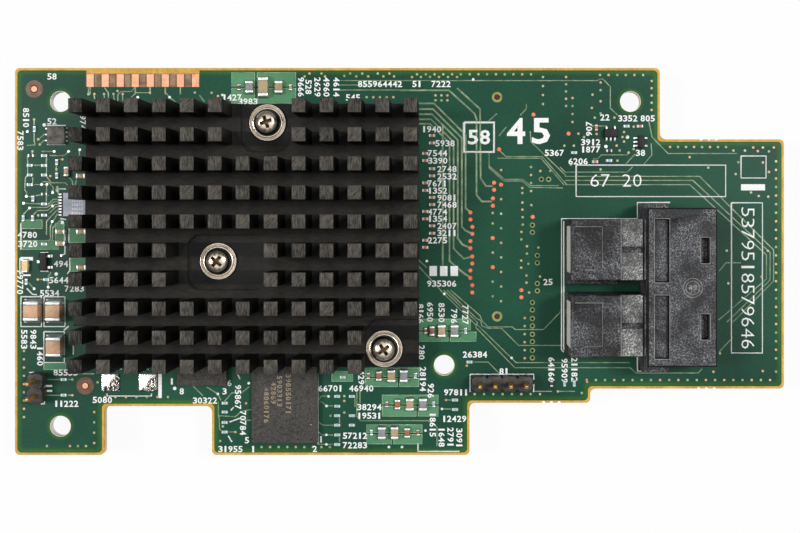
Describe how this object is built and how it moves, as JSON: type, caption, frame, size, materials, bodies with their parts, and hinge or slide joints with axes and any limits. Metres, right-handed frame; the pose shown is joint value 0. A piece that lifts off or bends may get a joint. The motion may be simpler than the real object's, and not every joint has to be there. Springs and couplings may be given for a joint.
{
  "type": "raid controller card",
  "caption": "Storage controller circuit board with a black pin-fin heat sink, a dual cable port facing the edge, pin headers, edge contacts and a stacking connector below.",
  "frame": {"origin": "axis of the top-left mounting hole, at the board's underside", "axes": "+X along the board towards the port mouths, +Y towards the edge with the contact strip, +Z out of the component side"},
  "size_m": [0.1299, 0.0654, 0.021],
  "materials": {
    "board": "satin green solder mask over fibreglass laminate",
    "black_anodised": "black anodised, sawn pin tops",
    "steel": "plated",
    "moulding": "dark moulded",
    "lid_metal": "nickel plated",
    "substrate": "laminate",
    "pad": "soft thermal pad",
    "solder": "tin",
    "label": "bluish label",
    "led": "translucent",
    "cap_ceramic": "tan",
    "resistor_ceramic": "pale, metal ended",
    "port_plastic": "charcoal, glass filled",
    "wafer_plastic": "pale",
    "gold": "gold plated",
    "copper": "copper coloured contact face",
    "header_plastic": "black"
  },
  "bodies": {
    "root": {"backup_memory_chip": "moulding", "buffer_chip": "moulding", "buffer_label": "label", "circuit_board": "board", "controller_lid": "lid_metal", "controller_substrate": "substrate", "coupling_capacitors": "cap_ceramic", "decoupling_capacitors": "cap_ceramic", "edge_contacts": "copper", "filter_part_ends": "solder", "filter_parts": "cap_ceramic", "flash_chip": "moulding", "gate_chip": "moulding", "header_solder": "solder", "heat_sink": "black_anodised", "heat_sink_nuts": "steel", "heat_sink_screws": "steel", "heat_sink_washers": "steel", "jumper_header_body": "header_plastic", "jumper_header_pins": "gold", "level_chip": "moulding", "memory_chips": "moulding", "memory_joints": "solder", "output_capacitor_ends": "solder", "output_capacitors": "cap_ceramic", "package_joints": "solder", "package_leads": "solder", "port_contacts_lower": "gold", "port_contacts_upper": "gold", "port_insert_lower": "port_plastic", "port_insert_upper": "port_plastic", "port_shell": "port_plastic", "port_tails": "solder", "port_wafer_lower": "wafer_plastic", "port_wafer_upper": "wafer_plastic", "regulator_chip": "moulding", "resistors_left": "resistor_ceramic", "resistors_low": "resistor_ceramic", "resistors_right": "resistor_ceramic", "sense_chip": "moulding", "sense_header_body": "header_plastic", "sense_header_pins": "gold", "small_capacitor_ends": "solder", "small_capacitors": "cap_ceramic", "solder_lands": "solder", "stack_contacts": "gold", "stack_housing": "header_plastic", "status_led": "led", "switch_transistor": "moulding", "termination_arrays": "resistor_ceramic", "thermal_pad": "pad"}
  },
  "joints": []
}
